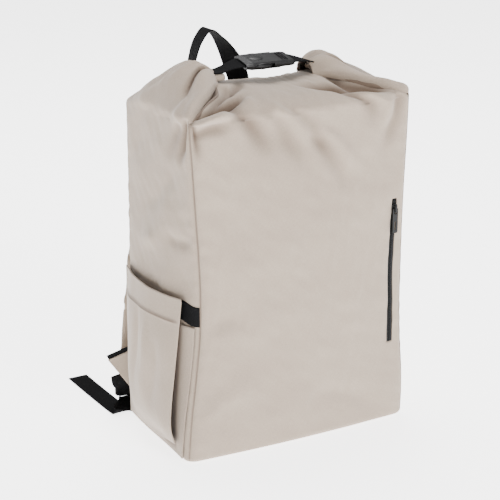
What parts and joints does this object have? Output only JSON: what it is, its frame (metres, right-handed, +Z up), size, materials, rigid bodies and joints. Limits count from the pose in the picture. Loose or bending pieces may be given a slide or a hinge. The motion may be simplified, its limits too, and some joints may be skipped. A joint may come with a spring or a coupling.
{
  "type": "rolltop backpack",
  "caption": "Rolltop backpack of plain canvas, its mouth rolled and buckled on top, with a side pocket, a front zip, a grab handle and padded shoulder straps",
  "frame": {"origin": "middle of the base, on the surface that the bag stands on", "axes": "+Z up, the front faces -Y, the side pocket is on the -X side"},
  "size_m": [0.335, 0.3059, 0.4569],
  "materials": {
    "canvas": "plain woven canvas, matt",
    "webbing": "woven ribbed webbing, matt",
    "plastic": "moulded, satin",
    "zip": "coated coil and tape"
  },
  "bodies": {
    "bag": {"front_panel": "canvas", "back_panel": "canvas", "left_side_panel": "canvas", "right_side_panel": "canvas", "base_panel": "canvas", "mouth_roll": "canvas", "side_pocket": "canvas", "pocket_band": "webbing", "zip_tape": "zip", "zip_slider": "plastic", "closure_strap_left": "webbing", "closure_strap_right": "webbing", "buckle_socket": "plastic", "buckle_plug": "plastic", "grab_handle": "webbing", "shoulder_strap_left": "canvas", "shoulder_strap_right": "canvas", "anchor_tab_left": "canvas", "anchor_tab_right": "canvas", "tab_binding_left": "webbing", "tab_binding_right": "webbing", "ladder_lock_left": "plastic", "ladder_lock_right": "plastic", "anchor_webbing_left": "webbing", "anchor_webbing_right": "webbing", "webbing_tail_left": "webbing", "webbing_tail_right": "webbing"},
    "puller": {"zip_puller": "plastic"}
  },
  "joints": [
    {"name": "puller_swing", "type": "hinge", "parent": "bag", "child": "puller", "pos_m": [0.122, -0.0868, 0.262], "axis": [-1, 0, 0], "range_deg": [0, 150]}
  ]
}
